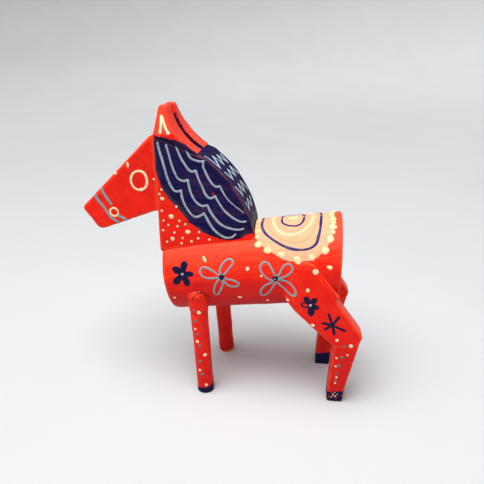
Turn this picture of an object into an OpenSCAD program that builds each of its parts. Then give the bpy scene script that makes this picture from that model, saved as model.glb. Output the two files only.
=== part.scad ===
// Painted wooden horse of joined blocks and dowels, standing on four legs.
// Millimetres, +Z up. The horse faces -X, and its left side is at -Y.
// The floor is Z = 0 and the origin is the middle of the whole figure on it.

/* [Body log] */
// Length of the log along its axis
log_len = 78.4; // [60:0.2:110]
// Diameter of the log at the chest
log_d_front = 39; // [32:0.5:50]
// Diameter of the log at the rump
log_d_rear = 41; // [32:0.5:50]
// Upward tilt of the log towards the rump, in degrees
log_tilt = 7.3; // [0:0.1:12]
// Height of the log's axis above the floor at mid-length
log_height = 61.5; // [52:0.5:80]
// Radius of the worn edge at the chest
chest_round = 2; // [0.5:0.5:5]

/* [Neck block] */
// Height of the flat neck seat above the log's axis
seat_rise = 15.4; // [13:0.2:16.4]
// Length of the seat along the log, from the chest
seat_len = 42.2; // [30:0.2:55]
// How far the neck overhangs the chest
neck_overhang = 0.4; // [0:0.1:3]
// Width of the neck at its front face
neck_w_front = 27; // [20:0.5:28]
// Width of the neck at the mane crest
neck_w_crest = 22; // [12:0.5:28]
// Height of the front face above the seat
neck_rise = 49.8; // [35:0.2:65]
// Height of the crest's foot above the seat
crest_foot_h = 4.8; // [2:0.2:8]
// Length of the sloping ear seat, measured level
ear_seat_run = 22; // [14:0.2:28]
// Drop of the ear seat from front to crest
ear_seat_drop = 9; // [3:0.2:14]
// Outward bulge of the mane crest from a straight line
crest_bulge = 3.2; // [1:0.2:6]

/* [Head block] */
// Length of the head in front of the neck
head_len = 36.3; // [25:0.1:50]
// Height of the head's back face
head_depth = 33.6; // [24:0.2:45]
// How far the brow stands above the ear seat
brow_rise = 1.6; // [0:0.2:4]
// Slope of the forehead, in degrees
forehead_slope = 43.9; // [35:0.1:50]
// Slope of the jaw, in degrees
jaw_slope = 22; // [15:0.5:30]
// How far the lip is set back from the nose
lip_setback = 8; // [3:0.5:12]
// Radius of the nose's corner
nose_round = 1.5; // [0.5:0.5:4]
// Radius of the lip's corner
lip_round = 3; // [0.5:0.5:5]
// Width of the head at the muzzle
muzzle_w = 18.5; // [12:0.5:26]

/* [Ears] */
// Height of the ear tips above the front of the ear seat
ear_rise = 11.8; // [8:0.2:20]
// Width across both ears at their seat
ears_w_base = 28; // [22:0.5:32]
// Width across both ears at their tips
ears_w_tip = 15.5; // [10:0.5:20]
// Gap between the ears at their seat
ear_gap_base = 5; // [2:0.5:8]
// Gap between the ears at their tips
ear_gap_tip = 4; // [2:0.5:8]
// How far an ear's front edge leans back at its tip
ear_lean = 1.4; // [0:0.2:6]
// Length of an ear tip, front to back
ear_tip_len = 4; // [3:0.2:8]
// Hollow of an ear's back edge from a straight line
ear_hollow = 3.6; // [0:0.2:5]

/* [Front legs] */
// Diameter of a front leg
front_leg_d = 8; // [6:0.5:11]
// Left front foot, behind the chest
left_front_foot_back = 17.5; // [12:0.5:26]
// Right front foot, behind the chest
right_front_foot_back = 22.5; // [12:0.5:30]
// Distance of a front foot from the middle plane
front_foot_y = 17.5; // [12:0.5:20]
// Backward rake of a front leg towards the foot, in degrees
front_leg_rake = 3.3; // [0:0.1:8]
// Outward splay of a front leg towards the foot, in degrees
front_leg_splay = 2.1; // [0:0.1:8]
// Depth of the socket's end below the log's axis
front_socket_below = 5.2; // [3:0.2:9]
// How far the filler collar reaches down the leg
collar_drop = 3.5; // [1:0.5:7]
// Thickness of the filler collar at its foot
collar_t_foot = 0.4; // [0.3:0.1:1]
// Thickness of the filler collar at its top
collar_t_top = 1.2; // [0.6:0.1:2.5]

/* [Hind legs] */
// Hip point, behind the log's mid-length
hip_back = 21.2; // [14:0.2:28]
// Hip point, below the log's axis there
hip_below = 2.2; // [-3:0.2:6]
// How far a thigh stands out from the log's side
thigh_stand_out = 1; // [0.6:0.2:4]
// Thickness of a thigh
thigh_t = 8; // [7:0.5:12]
// Left hock, behind the hip
left_hock_back = 22; // [14:0.2:28]
// Height of the left hock
left_hock_z = 33; // [26:0.2:42]
// Right hock, behind the hip
right_hock_back = 18.4; // [14:0.2:28]
// Height of the right hock
right_hock_z = 37.2; // [26:0.2:42]
// Left hind foot, behind the hip
left_hind_foot_back = 19.2; // [10:0.2:26]
// Right hind foot, behind the hip
right_hind_foot_back = 14.4; // [10:0.2:26]
// Distance of the left hind foot from the middle plane
left_hind_foot_y = 15.7; // [12:0.1:20]
// Distance of the right hind foot from the middle plane
right_hind_foot_y = 13; // [11:0.1:20]
// Size of a hind foot, front to back
hind_foot_l = 7.2; // [5:0.1:11]
// Size of a hind foot, side to side
hind_foot_w = 8; // [5:0.5:11]
// Height of the ankle, where the shank starts to widen
ankle_z = 8; // [5:0.5:18]
// Width of the filler band round a thigh's top
filler_w = 2; // [1:0.2:4]
// How far the filler stands out from the log's side
filler_stand_out = 0.6; // [0.2:0.2:1.8]

/* [Dowels] */
// Diameter of the neck, head and hip dowels
dowel_d = 6; // [4:0.5:8]
// Diameter of a hock dowel
hock_dowel_d = 4; // [3:0.5:5]
// Depth of a neck or head dowel in each block
dowel_depth = 11; // [6:0.5:14]
// Hip dowel, behind the log's mid-length
hip_dowel_back = 24.5; // [18:0.5:30]
// Hip dowel, below the log's axis there
hip_dowel_below = 12; // [8:0.5:14]
// Depth of a hip dowel in the log
hip_dowel_depth = 12; // [6:0.5:14]
// Depth of a hock dowel in the thigh and in the shank
hock_dowel_depth = 8; // [5:0.5:10]
// Clearance between a dowel and its bore, on the diameter
dowel_clearance = 0.1; // [0:0.05:0.4]
// Glue space left at the far end of a dowel
dowel_end_gap = 0.5; // [0.2:0.1:1.5]
// Wood left over the end of a hip dowel in the thigh
hip_cover = 1; // [0.6:0.2:1.8]

/* [Hidden] */
$fn = 64;
LEFT = -1;
RIGHT = 1;
far = 400;                  // larger than the figure, for blocks that cut
paint_red = "#c8402c";
paint_navy = "#2b2c45";
bare_wood = "#d9b685";
filler_red = "#a83224";

// A point of the side view: s along the log from its mid-length, h square to its axis
function log_pt(s, h) = [s * cos(log_tilt) - h * sin(log_tilt),
                         log_height + s * sin(log_tilt) + h * cos(log_tilt)];
// Height of the log's axis over a place x
function axis_z(x) = log_height + x * tan(log_tilt);

log_half = log_len / 2;
chest_x = log_pt(-log_half, 0)[0];
rump_x = log_pt(log_half, 0)[0];
seat_front = log_pt(-log_half, seat_rise);
seat_back = log_pt(seat_len - log_half, seat_rise);
crest_foot = log_pt(seat_len - log_half, seat_rise + crest_foot_h);
neck_x = seat_front[0] - neck_overhang;
neck_top_z = seat_front[1] + neck_rise;
crest_top = [neck_x + ear_seat_run, neck_top_z - ear_seat_drop];

brow_z = neck_top_z + brow_rise;
throat_z = brow_z - head_depth;
nose_x = neck_x - head_len;
nose_z = brow_z - head_len * tan(forehead_slope);
lip_x = nose_x + lip_setback;
lip_z = throat_z - (neck_x - lip_x) * tan(jaw_slope);

ear_tip_z = neck_top_z + ear_rise;
ear_base_z = crest_top[1];

hip = [hip_back, axis_z(hip_back) - hip_below];
left_hock = [hip_back + left_hock_back, left_hock_z];
right_hock = [hip_back + right_hock_back, right_hock_z];
left_hind_foot = [hip_back + left_hind_foot_back, LEFT * left_hind_foot_y];
right_hind_foot = [hip_back + right_hind_foot_back, RIGHT * right_hind_foot_y];
thigh_outer = log_d_rear / 2 + thigh_stand_out;
thigh_inner = thigh_outer - thigh_t;
// Corners of a thigh in the side view, from its hip or its hock: x, z, radius
thigh_top = [1.6, 12.2, 4.4];
thigh_front = [-6.6, -8.8, 2.5];
hock_back = [7.1, 4, 2];
seam_back = [6.1, 0.9, 0];
seam_front = [-5.2, -1.8, 0];
// Half-width of the log at the hip dowels, and their length from it to under the thigh's face
log_side = sqrt(pow(log_d_rear / 2, 2) - pow(hip_dowel_below, 2));
hip_dowel_len = hip_dowel_depth + thigh_outer - log_side - hip_cover;
ankle_spare = 0.3;          // how far the ankle is wider than the foot, each way
neck_dowel_front_share = 0.25;      // places of the neck dowels along the seat
neck_dowel_rear_share = 0.7;
filler_reach = 7;           // how far below the hip the filler goes

// Points of an arc that rounds the corner b between a and c, grown outwards by grow
function corner(a, b, c, r, grow, n = 5) =
    r + grow <= 0 ? [b] :
    let (u = (a - b) / norm(a - b),
         v = (c - b) / norm(c - b),
         half = acos(u * v) / 2,
         m = (u + v) / norm(u + v),
         centre = b + m * r / sin(half),
         nu = u / tan(half) - m / sin(half),
         nv = v / tan(half) - m / sin(half),
         start = atan2(nu[1], nu[0]),
         raw = atan2(nv[1], nv[0]) - start,
         turn = raw > 180 ? raw - 360 : raw < -180 ? raw + 360 : raw)
    [for (i = [0:n]) centre + (r + grow) * [cos(start + turn * i / n), sin(start + turn * i / n)]];

// A convex outline of corners [x, z, radius], each rounded by its own radius
function rounded(p, grow = 0) =
    let (last = len(p) - 1,
         q = [for (c = p) [c[0], c[1]]])
    [for (i = [0:last]) each corner(q[i == 0 ? last : i - 1], q[i], q[i == last ? 0 : i + 1], p[i][2], grow)];

// Points from a to b on a curve that bulges to the right by the given amount
function bowed(a, b, bulge, n = 8) =
    let (side = [(b - a)[1], -(b - a)[0]] / norm(b - a))
    [for (i = [0:n]) a + (b - a) * i / n + side * bulge * 4 * (i / n) * (1 - i / n)];

// A thigh's outline in the side view, from its hip to its hock
function thigh_outline(hock, grow = 0) =
    let (at = [[hip, thigh_top], [hock, hock_back], [hock, seam_back], [hock, seam_front], [hip, thigh_front]])
    rounded([for (c = at) [c[0][0] + c[1][0], c[0][1] + c[1][1], c[1][2]]], grow);

// The head's outline in the side view, from its throat round the muzzle to its brow
head_outline = rounded([[neck_x, throat_z, 0], [lip_x, lip_z, lip_round],
                        [nose_x, nose_z, nose_round], [neck_x, brow_z, 0]]);

// Middle of the figure between its nose and its hindmost hock, which stands over the origin
nose_tip = min([for (p = head_outline) p[0]]);
hock_tip = max([for (h = [left_hock, right_hock]) for (p = thigh_outline(h)) p[0]]);
middle_x = (nose_tip + hock_tip) / 2;

// Brings a sub-part from over the log's middle to over the figure's middle
module placed() {
    translate([-middle_x, 0, 0]) children();
}

// The log's own frame: X along its axis to the rump, Z square to it
module log_frame() {
    translate([0, 0, log_height]) rotate([0, -log_tilt, 0]) children();
}

// Children stand at a with their Z axis towards b
module along(a, b) {
    v = b - a;
    translate(a) rotate([0, acos(v[2] / norm(v)), atan2(v[1], v[0])]) children();
}

// A side-view outline made solid between two distances from the middle plane, on one side
module side_block(outline, y0, y1, side = RIGHT) {
    top = max(side * y0, side * y1);
    translate([0, top, 0]) rotate([90, 0, 0]) linear_extrude(abs(y1 - y0)) polygon(outline);
}

// An end-view outline in Y and Z made solid all along X
module end_block(outline) {
    translate([-far / 2, 0, 0]) rotate([90, 0, 90]) linear_extrude(far) polygon(outline);
}

// All that is under the floor
module below_floor() {
    translate([-far / 2, -far / 2, -far]) cube(far);
}

// The whole round log, with its worn chest edge and its upright sawn rump
module log_solid() {
    r0 = log_d_front / 2;
    r1 = log_d_rear / 2;
    spare = r1 * tan(log_tilt) + 2;
    long = log_len + spare;
    worn = [for (a = [0:15:90]) [r0 + chest_round * (sin(a) - 1), chest_round * (1 - cos(a))]];
    difference() {
        log_frame() translate([-log_half, 0, 0]) rotate([0, 90, 0])
            rotate_extrude($fn = 96)
                polygon(concat([[0, 0]], worn, [[r1 + (r1 - r0) * spare / log_len, long], [0, long]]));
        translate([rump_x, -far / 2, 0]) cube(far);
    }
}

// The neck narrows from its front face to the crest; spare widens it for the ears
module neck_taper(spare = 0) {
    w0 = neck_w_front / 2 + spare;
    w1 = neck_w_crest / 2 + spare;
    linear_extrude(far) polygon([[neck_x, -w0], [seat_back[0], -w1], [far, -w1],
                                 [far, w1], [seat_back[0], w1], [neck_x, w0]]);
}

// The head narrows from the neck to the muzzle
module head_taper() {
    w0 = neck_w_front / 2;
    w1 = muzzle_w / 2;
    linear_extrude(far) polygon([[neck_x, -w0], [neck_x, w0], [nose_x, w1], [nose_x, -w1]]);
}

// A neck dowel's place: the closed end of its bore in the log
module neck_dowel_at(share) {
    log_frame() translate([seat_len * share - log_half, 0, seat_rise - dowel_depth]) children();
}

// The head dowel's place: the closed end of its bore in the neck
module head_dowel_at() {
    translate([neck_x + dowel_depth, 0, (brow_z + throat_z) / 2]) rotate([0, -90, 0]) children();
}

// A hip dowel's place: the closed end of its bore in the log
module hip_dowel_at(side) {
    z = axis_z(hip_dowel_back) - hip_dowel_below;
    along([hip_dowel_back, side * (log_side - hip_dowel_depth), z],
          [hip_dowel_back, side * far, z]) children();
}

// Middle of a hock's seam, between the faces of the leg
function hock_mid(hock, side) = [hock[0] + (seam_back[0] + seam_front[0]) / 2,
                                 side * (thigh_inner + thigh_outer) / 2,
                                 hock[1] + (seam_back[1] + seam_front[1]) / 2];

// A hock dowel's place: the closed end of its bore in the thigh
module hock_dowel_at(hock, foot, side) {
    m = hock_mid(hock, side);
    f = [foot[0], foot[1], 0];
    up = (m - f) / norm(m - f);
    along(m + up * hock_dowel_depth, f) children();
}

// A dowel of the given length that stands on its bore's closed end
module dowel(d, l) {
    color(bare_wood) cylinder(h = l - dowel_end_gap, d = d, $fn = 48);
}

// The bore for such a dowel
module bore(d, l) {
    cylinder(h = l, d = d + dowel_clearance, $fn = 48);
}

function front_foot(side) = [chest_x + (side == LEFT ? left_front_foot_back : right_front_foot_back),
                             side * front_foot_y, 0];
// End of a front leg in its socket
function front_leg_end(side) =
    let (f = front_foot(side), z = axis_z(f[0]) - front_socket_below)
    f + z * [-tan(front_leg_rake), -side * tan(front_leg_splay), 1];

module front_leg_rod(side) {
    under = front_leg_d;            // length below the floor, which is cut off
    a = front_foot(side);
    b = front_leg_end(side);
    along(a, b) translate([0, 0, -under]) cylinder(h = norm(b - a) + under, d = front_leg_d);
}

module front_leg(side) {
    color(paint_red) difference() {
        front_leg_rod(side);
        below_floor();
    }
}

// Rough filler round the open-sided socket of a front leg
module front_collar(side) {
    a = front_foot(side);
    b = front_leg_end(side);
    r = log_d_front / 2;
    entry = axis_z(b[0]) - sqrt(r * r - pow(abs(b[1]), 2));
    foot = entry - collar_drop;
    color(filler_red) difference() {
        along(a, b) translate([0, 0, foot])
            cylinder(h = norm(b - a) - foot, d1 = front_leg_d + 2 * collar_t_foot,
                     d2 = front_leg_d + 2 * collar_t_top);
        front_leg_rod(side);
        log_solid();
    }
}

module body_log() {
    color(paint_red) difference() {
        log_solid();
        log_frame() translate([-far - log_half + seat_len, -far / 2, seat_rise]) cube(far);
        for (share = [neck_dowel_front_share, neck_dowel_rear_share])
            neck_dowel_at(share) bore(dowel_d, dowel_depth + 1);
        for (side = [LEFT, RIGHT]) {
            front_leg_rod(side);
            hip_dowel_at(side) bore(dowel_d, far);
        }
    }
}

module neck_block() {
    back_edge = bowed(crest_foot, crest_top, crest_bulge);
    color(paint_red) difference() {
        intersection() {
            side_block(concat([[neck_x, seat_front[1] - neck_overhang * tan(log_tilt)], seat_back],
                              back_edge, [[neck_x, neck_top_z]]), -far, far);
            neck_taper();
        }
        for (share = [neck_dowel_front_share, neck_dowel_rear_share])
            neck_dowel_at(share) bore(dowel_d, 2 * dowel_depth);
        head_dowel_at() bore(dowel_d, far);
    }
}

module head_block() {
    color(paint_red) difference() {
        intersection() {
            side_block(head_outline, -far, far);
            head_taper();
        }
        head_dowel_at() bore(dowel_d, 2 * dowel_depth);
    }
}

// One ear: a leaning prong whose hollow back runs down to the crest
module ear(side) {
    tip_front = [neck_x + ear_lean, ear_tip_z];
    tip_back = [neck_x + ear_lean + ear_tip_len, ear_tip_z];
    back_edge = bowed(crest_top, tip_back, -ear_hollow);
    spare_w = (ears_w_base - neck_w_front) / 2;
    color(paint_red) intersection() {
        side_block(concat([[neck_x, neck_top_z]], back_edge, [tip_front]), -far, far);
        end_block([[side * ear_gap_base / 2, ear_base_z], [side * ears_w_base / 2, ear_base_z],
                   [side * ears_w_base / 2, neck_top_z], [side * ears_w_tip / 2, ear_tip_z],
                   [side * ear_gap_tip / 2, ear_tip_z]]);
        neck_taper(spare_w);
    }
}

// A thigh: a flat wedge hollowed to lie on the log's side
module thigh(hock, foot, side) {
    color(paint_red) difference() {
        side_block(thigh_outline(hock), thigh_inner, thigh_outer, side);
        log_solid();
        hip_dowel_at(side) bore(dowel_d, hip_dowel_len);
        hock_dowel_at(hock, foot, side) bore(hock_dowel_d, 2 * hock_dowel_depth);
    }
}

// A shank: a tapered bar from the hock's seam to the floor
module shank(hock, foot, side) {
    back = [hock[0] + seam_back[0], hock[1] + seam_back[1]];
    front = [hock[0] + seam_front[0], hock[1] + seam_front[1]];
    ankle_x = foot[0] + (hock[0] - foot[0]) * ankle_z / hock[1] / 2;
    half_l = hind_foot_l / 2;
    half_w = hind_foot_w / 2;
    color(paint_red) difference() {
        intersection() {
            side_block([front, [ankle_x - half_l - ankle_spare, ankle_z], [foot[0] - half_l, 0],
                        [foot[0] + half_l, 0], [ankle_x + half_l + ankle_spare, ankle_z], back], -far, far);
            end_block([[side * thigh_inner, far], [side * thigh_inner, front[1]],
                       [foot[1] - side * half_w, 0], [foot[1] + side * half_w, 0],
                       [side * thigh_outer, front[1]], [side * thigh_outer, far]]);
        }
        hock_dowel_at(hock, foot, side) bore(hock_dowel_d, 2 * hock_dowel_depth);
    }
}

// Filler that rounds the step between the log's side and a thigh's top
module hip_filler(hock, side) {
    outer = log_d_rear / 2 + filler_stand_out;
    color(filler_red) difference() {
        side_block(thigh_outline(hock, filler_w), thigh_inner, outer, side);
        side_block(thigh_outline(hock), 0, far, side);
        log_solid();
        translate([-far / 2, -far / 2, hip[1] - filler_reach - far]) cube(far);
    }
}

module left_ear() { ear(LEFT); }
module right_ear() { ear(RIGHT); }
module neck_dowel_front() { neck_dowel_at(neck_dowel_front_share) dowel(dowel_d, 2 * dowel_depth); }
module neck_dowel_rear() { neck_dowel_at(neck_dowel_rear_share) dowel(dowel_d, 2 * dowel_depth); }
module head_dowel() { head_dowel_at() dowel(dowel_d, 2 * dowel_depth); }
module left_front_leg() { front_leg(LEFT); }
module right_front_leg() { front_leg(RIGHT); }
module left_front_collar() { front_collar(LEFT); }
module right_front_collar() { front_collar(RIGHT); }
module left_thigh() { thigh(left_hock, left_hind_foot, LEFT); }
module right_thigh() { thigh(right_hock, right_hind_foot, RIGHT); }
module left_shank() { shank(left_hock, left_hind_foot, LEFT); }
module right_shank() { shank(right_hock, right_hind_foot, RIGHT); }
module left_hip_filler() { hip_filler(left_hock, LEFT); }
module right_hip_filler() { hip_filler(right_hock, RIGHT); }
module left_hip_dowel() { hip_dowel_at(LEFT) dowel(dowel_d, hip_dowel_len); }
module right_hip_dowel() { hip_dowel_at(RIGHT) dowel(dowel_d, hip_dowel_len); }

module left_hock_dowel() {
    hock_dowel_at(left_hock, left_hind_foot, LEFT) dowel(hock_dowel_d, 2 * hock_dowel_depth);
}

module right_hock_dowel() {
    hock_dowel_at(right_hock, right_hind_foot, RIGHT) dowel(hock_dowel_d, 2 * hock_dowel_depth);
}

placed() body_log();
placed() neck_block();
placed() head_block();
placed() left_ear();
placed() right_ear();
placed() neck_dowel_front();
placed() neck_dowel_rear();
placed() head_dowel();
placed() left_front_leg();
placed() right_front_leg();
placed() left_front_collar();
placed() right_front_collar();
placed() left_thigh();
placed() right_thigh();
placed() left_shank();
placed() right_shank();
placed() left_hip_filler();
placed() right_hip_filler();
placed() left_hip_dowel();
placed() right_hip_dowel();
placed() left_hock_dowel();
placed() right_hock_dowel();
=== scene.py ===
"""Looks of the painted wooden horse: carved blocks, brushed paint, raised paint lines and dots."""

import math
import random

import bpy
import numpy as np
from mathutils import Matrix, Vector
from mathutils.bvhtree import BVHTree


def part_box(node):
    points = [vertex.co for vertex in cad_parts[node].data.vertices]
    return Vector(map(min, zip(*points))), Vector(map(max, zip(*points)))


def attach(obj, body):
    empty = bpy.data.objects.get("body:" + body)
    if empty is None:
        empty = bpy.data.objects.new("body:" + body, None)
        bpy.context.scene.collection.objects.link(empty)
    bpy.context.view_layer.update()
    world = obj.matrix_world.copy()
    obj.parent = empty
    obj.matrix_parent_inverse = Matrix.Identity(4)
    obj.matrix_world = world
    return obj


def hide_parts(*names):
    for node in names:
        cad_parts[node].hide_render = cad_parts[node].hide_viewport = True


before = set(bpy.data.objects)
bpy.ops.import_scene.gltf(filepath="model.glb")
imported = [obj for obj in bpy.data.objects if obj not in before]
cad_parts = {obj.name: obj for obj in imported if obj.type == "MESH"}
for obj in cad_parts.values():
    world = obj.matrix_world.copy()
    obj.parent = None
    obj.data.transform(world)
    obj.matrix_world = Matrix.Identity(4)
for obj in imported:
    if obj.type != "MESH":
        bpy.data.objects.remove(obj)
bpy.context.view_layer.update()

bl_info = {
    "name": "Painted Wooden Horse",
    "version": (1, 0, 0),
    "blender": (4, 5, 0),
    "location": "View3D > Sidebar > Horse",
    "description": "Builds the looks of a hand painted horse of joined wooden blocks",
    "category": "Object",
}

MM = 0.001
LEFT, RIGHT = -1, 1
FAR = 60 * MM                               # how far from the middle of what it aims at a ray starts
NECK_LOW, NECK_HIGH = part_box("neck_block")
NECK_FRONT = NECK_LOW.x                     # the neck's front face, where the head is glued
OVER_EDGE = 4 * MM                          # paint that would run further over an edge stays on the edge
NEAR_HAND, FAR_HAND = 11, 23                # seeds for the unevenness of each side's marks
CREASE = math.radians(50)                   # edges sharper than this stay sharp
GLOSS = 0.1                                 # how much light the dull paints throw back
TIPS = ((0.8, 0.3), (0.45, 0.75))           # a stroke's tips: how far past its end, how thick there

# the rest are millimetres
LOG_R = 20.0                                # the log's radius, round which its chart is wrapped
LOG_TAPER = 0.5                             # how much wider it is at the rump, and narrower at the chest
LEG_R = 4.0                                 # a front leg's radius, round which its chart is wrapped
BED_REACH, FOOT_SINK, HEAD_SINK = 2.2, 1.8, 1.1     # how the neck's foot and the head's back are bedded
DOME_LOW, DOME_RISE = 48, 5.6               # where a front leg's top starts to round, and how far it goes
DOME_HALF, CRACK_HALF = 4.9, 4.3            # half the width of that dome and of the crack round it
FILLER_R = 19.6                             # where that dome's filler runs out, just inside the log
FILL_HEIGHTS, FILL_FRONTS = (53, 76), (25.5, 32.5)  # where the thigh's filled front edge runs, up and back
FILL_TOP, FILL_FOOT = 78.6, 45              # the top and the foot of the thigh's filler
FILL_SKIN = 0.12                            # how far the rubbed filler dips under the log's skin
HOCK_NORMAL = (-0.232, 0, 0.973)            # which way the flat joint above a shank faces

DEEP_BLUE = (0.003, 0.0035, 0.06)           # the bluer patches of the mane
HOOF_BLUE = (0.010, 0.007, 0.060)           # thin hoof paint


# ---------------------------------------------------------------- sizes and colours

class HorseSizes(bpy.types.PropertyGroup):
    voxel: bpy.props.FloatProperty(
        name="Carving step", description="Grain of the carved meshes",
        default=0.55 * MM, min=0.3 * MM, max=2 * MM, unit="LENGTH", precision=5)
    line_height: bpy.props.FloatProperty(
        name="Paint height", description="How far a painted line stands proud",
        default=0.16 * MM, min=0.05 * MM, max=0.5 * MM, unit="LENGTH", precision=5)
    dot_height: bpy.props.FloatProperty(
        name="Dot height", description="How far a painted dot stands proud",
        default=0.28 * MM, min=0.05 * MM, max=0.8 * MM, unit="LENGTH", precision=5)
    log_mid_x: bpy.props.FloatProperty(
        name="Log middle", description="Middle of the log's axis, along the figure",
        default=13.47 * MM, unit="LENGTH", precision=5)
    log_mid_z: bpy.props.FloatProperty(
        name="Log height", description="Height of the log's axis at its middle",
        default=61.5 * MM, unit="LENGTH", precision=5)
    log_half: bpy.props.FloatProperty(
        name="Log half length", description="Half the length of the log",
        default=39.2 * MM, unit="LENGTH", precision=5)
    log_tilt: bpy.props.FloatProperty(
        name="Log tilt", description="Rise of the log towards the rump",
        default=math.radians(7.3), subtype="ANGLE")


class HorseColours(bpy.types.PropertyGroup):
    red: bpy.props.FloatVectorProperty(
        name="Red", description="Main orange-red paint",
        default=(0.92, 0.015, 0.005), subtype="COLOR", min=0, max=1)
    # orange is also painted as a highlight where the wood faces up
    orange: bpy.props.FloatVectorProperty(
        name="Orange", description="Thin, brushed-out red paint",
        default=(0.97, 0.095, 0.030), subtype="COLOR", min=0, max=1)
    # crimson is also painted as shade low down, where the wood faces down, and in seams
    crimson: bpy.props.FloatVectorProperty(
        name="Crimson", description="Thick red paint in hollows and low down",
        default=(0.42, 0.004, 0.008), subtype="COLOR", min=0, max=1)
    navy: bpy.props.FloatVectorProperty(
        name="Navy", description="Mane and hoof paint",
        default=(0.004, 0.004, 0.032), subtype="COLOR", min=0, max=1)
    plum: bpy.props.FloatVectorProperty(
        name="Plum", description="Thin mane paint over the red",
        default=(0.048, 0.018, 0.060), subtype="COLOR", min=0, max=1)
    grey_blue: bpy.props.FloatVectorProperty(
        name="Grey blue", description="Mane lines",
        default=(0.34, 0.40, 0.45), subtype="COLOR", min=0, max=1)
    teal: bpy.props.FloatVectorProperty(
        name="Teal", description="Flowers and bridle",
        default=(0.17, 0.33, 0.36), subtype="COLOR", min=0, max=1)
    cream: bpy.props.FloatVectorProperty(
        name="Cream", description="Dots, eye and ear strokes",
        default=(0.90, 0.72, 0.42), subtype="COLOR", min=0, max=1)
    peach: bpy.props.FloatVectorProperty(
        name="Peach", description="Saddle cloth",
        default=(0.80, 0.385, 0.215), subtype="COLOR", min=0, max=1)
    wood: bpy.props.FloatVectorProperty(
        name="Bare wood", description="Dowels inside the joints",
        default=(0.60, 0.38, 0.19), subtype="COLOR", min=0, max=1)


# ---------------------------------------------------------------- small helpers

def sizes():
    return bpy.context.scene.horse_sizes


def colours():
    return bpy.context.scene.horse_colours


def only(obj):
    """Makes obj the one selected and active object."""
    bpy.ops.object.select_all(action="DESELECT")
    obj.hide_set(False)
    obj.select_set(True)
    bpy.context.view_layer.objects.active = obj
    return obj


def apply_modifier(obj, kind, **settings):
    only(obj)
    mod = obj.modifiers.new(kind.title(), kind)
    for key, value in settings.items():
        setattr(mod, key, value)
    bpy.ops.object.modifier_apply(modifier=mod.name)


def join(name, objs):
    """Makes one object of several."""
    only(objs[0])
    for obj in objs:
        obj.select_set(True)
    if len(objs) > 1:
        bpy.ops.object.join()
    objs[0].name = name
    return objs[0]


def side_word(side):
    return "left" if side == LEFT else "right"


def between(value, none, full):
    """0 at none and beyond it, 1 at full and beyond it, and rising evenly from one to the other."""
    return np.clip((value - none) / (full - none), 0, 1)


def ease(share):
    """Softens both ends of a rise from 0 to 1."""
    return share ** 2 * (3 - 2 * share)


def points_of(obj):
    """The piece's vertices as an array, in metres."""
    co = np.empty(len(obj.data.vertices) * 3, np.float32)
    obj.data.vertices.foreach_get("co", co)
    return co.reshape(-1, 3).astype(float)


def set_points(obj, co):
    obj.data.vertices.foreach_set("co", np.asarray(co, np.float32).ravel())
    obj.data.update()


def normals_of(obj):
    normals = np.empty(len(obj.data.vertices) * 3, np.float32)
    obj.data.vertices.foreach_get("normal", normals)
    return normals.reshape(-1, 3)


def set_attribute(obj, name, values):
    layer = obj.data.attributes.get(name) or obj.data.attributes.new(name, "FLOAT", "POINT")
    layer.data.foreach_set("value", np.asarray(values, np.float32))


def log_line(x):
    """Height of the log's axis at x."""
    s = sizes()
    return s.log_mid_z + (x - s.log_mid_x) * math.tan(s.log_tilt)


def along_and_up(co):
    """How far each point is along the log's axis from its middle, and how far above that axis."""
    s = sizes()
    rel = co - np.array((s.log_mid_x, 0, s.log_mid_z))
    along = rel[:, 0] * math.cos(s.log_tilt) + rel[:, 2] * math.sin(s.log_tilt)
    return along, rel[:, 2] * math.cos(s.log_tilt) - rel[:, 0] * math.sin(s.log_tilt)


def outline_distance(points, outline):
    """Signed distance, in millimetres, from 2D points to a closed outline: positive inside."""
    p = np.asarray(points, float)
    a = np.asarray(outline, float)
    b = np.roll(a, -1, axis=0)
    near = np.full(len(p), 1e9)
    inside = np.zeros(len(p), bool)
    for (ax, ay), (bx, by) in zip(a, b):
        ex, ey = bx - ax, by - ay
        t = np.clip(((p[:, 0] - ax) * ex + (p[:, 1] - ay) * ey) / max(ex * ex + ey * ey, 1e-12), 0, 1)
        near = np.minimum(near, np.hypot(p[:, 0] - ax - t * ex, p[:, 1] - ay - t * ey))
        crosses = (ay > p[:, 1]) != (by > p[:, 1])
        with np.errstate(divide="ignore", invalid="ignore"):
            x_at = ax + (p[:, 1] - ay) * ex / (ey if ey else 1e-12)
        inside ^= crosses & (p[:, 0] < x_at)
    return np.where(inside, near, -near)


def finish_piece(obj, slot, material, nodes=()):
    obj.data.materials.clear()
    obj.data.materials.append(material)
    only(obj)
    bpy.ops.object.shade_smooth_by_angle(angle=CREASE)
    if nodes:
        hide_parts(*nodes)
    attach(obj, "root")
    return obj


# ---------------------------------------------------------------- carved wooden blocks

def hand_wobble(obj, scale, strength):
    """Gentle unevenness of hand-cut wood."""
    texture = bpy.data.textures.get("hand") or bpy.data.textures.new("hand", "CLOUDS")
    texture.noise_scale = scale
    texture.noise_depth = 2
    apply_modifier(obj, "DISPLACE", texture=texture, texture_coords="LOCAL",
                   strength=strength, mid_level=0.5)


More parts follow.
